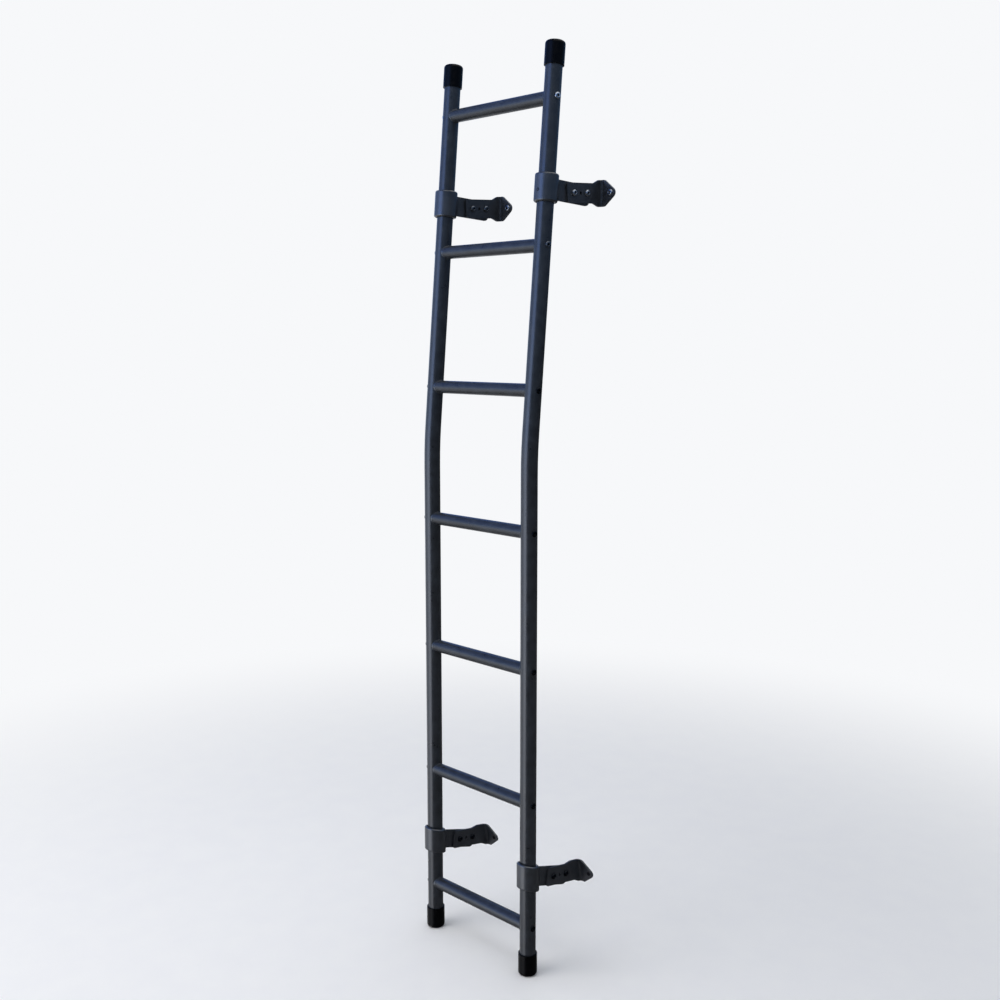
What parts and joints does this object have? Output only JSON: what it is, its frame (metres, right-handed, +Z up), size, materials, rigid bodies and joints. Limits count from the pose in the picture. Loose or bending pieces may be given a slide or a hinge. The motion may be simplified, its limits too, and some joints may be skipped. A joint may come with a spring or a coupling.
{
  "type": "van rear door ladder",
  "caption": "Bolt-on ladder for a van's rear door: two bent round rails, seven round rungs, black end caps and four collar brackets with pointed feet.",
  "frame": {"origin": "centre of the flat mounting face of the lower right foot", "axes": "+X along the rungs to the right seen from behind the van, +Y out of the upper feet's faces toward the door, +Z up along the lower rails"},
  "size_m": [0.385, 0.2308, 2.006],
  "materials": {
    "rail_coat": "satin graphite powder coat on steel tube",
    "bracket_coat": "satin black-grey powder coat on steel plate",
    "cap_vinyl": "dipped vinyl, semi-gloss black"
  },
  "bodies": {
    "root": {"left_rail": "rail_coat", "right_rail": "rail_coat", "rung_1": "rail_coat", "rung_2": "rail_coat", "rung_3": "rail_coat", "rung_4": "rail_coat", "rung_5": "rail_coat", "rung_6": "rail_coat", "rung_7": "rail_coat", "left_top_cap": "cap_vinyl", "left_bottom_cap": "cap_vinyl", "right_top_cap": "cap_vinyl", "right_bottom_cap": "cap_vinyl", "upper_left_collar": "bracket_coat", "upper_left_strap": "bracket_coat", "upper_left_foot": "bracket_coat", "upper_right_collar": "bracket_coat", "upper_right_strap": "bracket_coat", "upper_right_foot": "bracket_coat", "lower_left_collar": "bracket_coat", "lower_left_strap": "bracket_coat", "lower_left_foot": "bracket_coat", "lower_right_collar": "bracket_coat", "lower_right_strap": "bracket_coat", "lower_right_foot": "bracket_coat"}
  },
  "joints": []
}
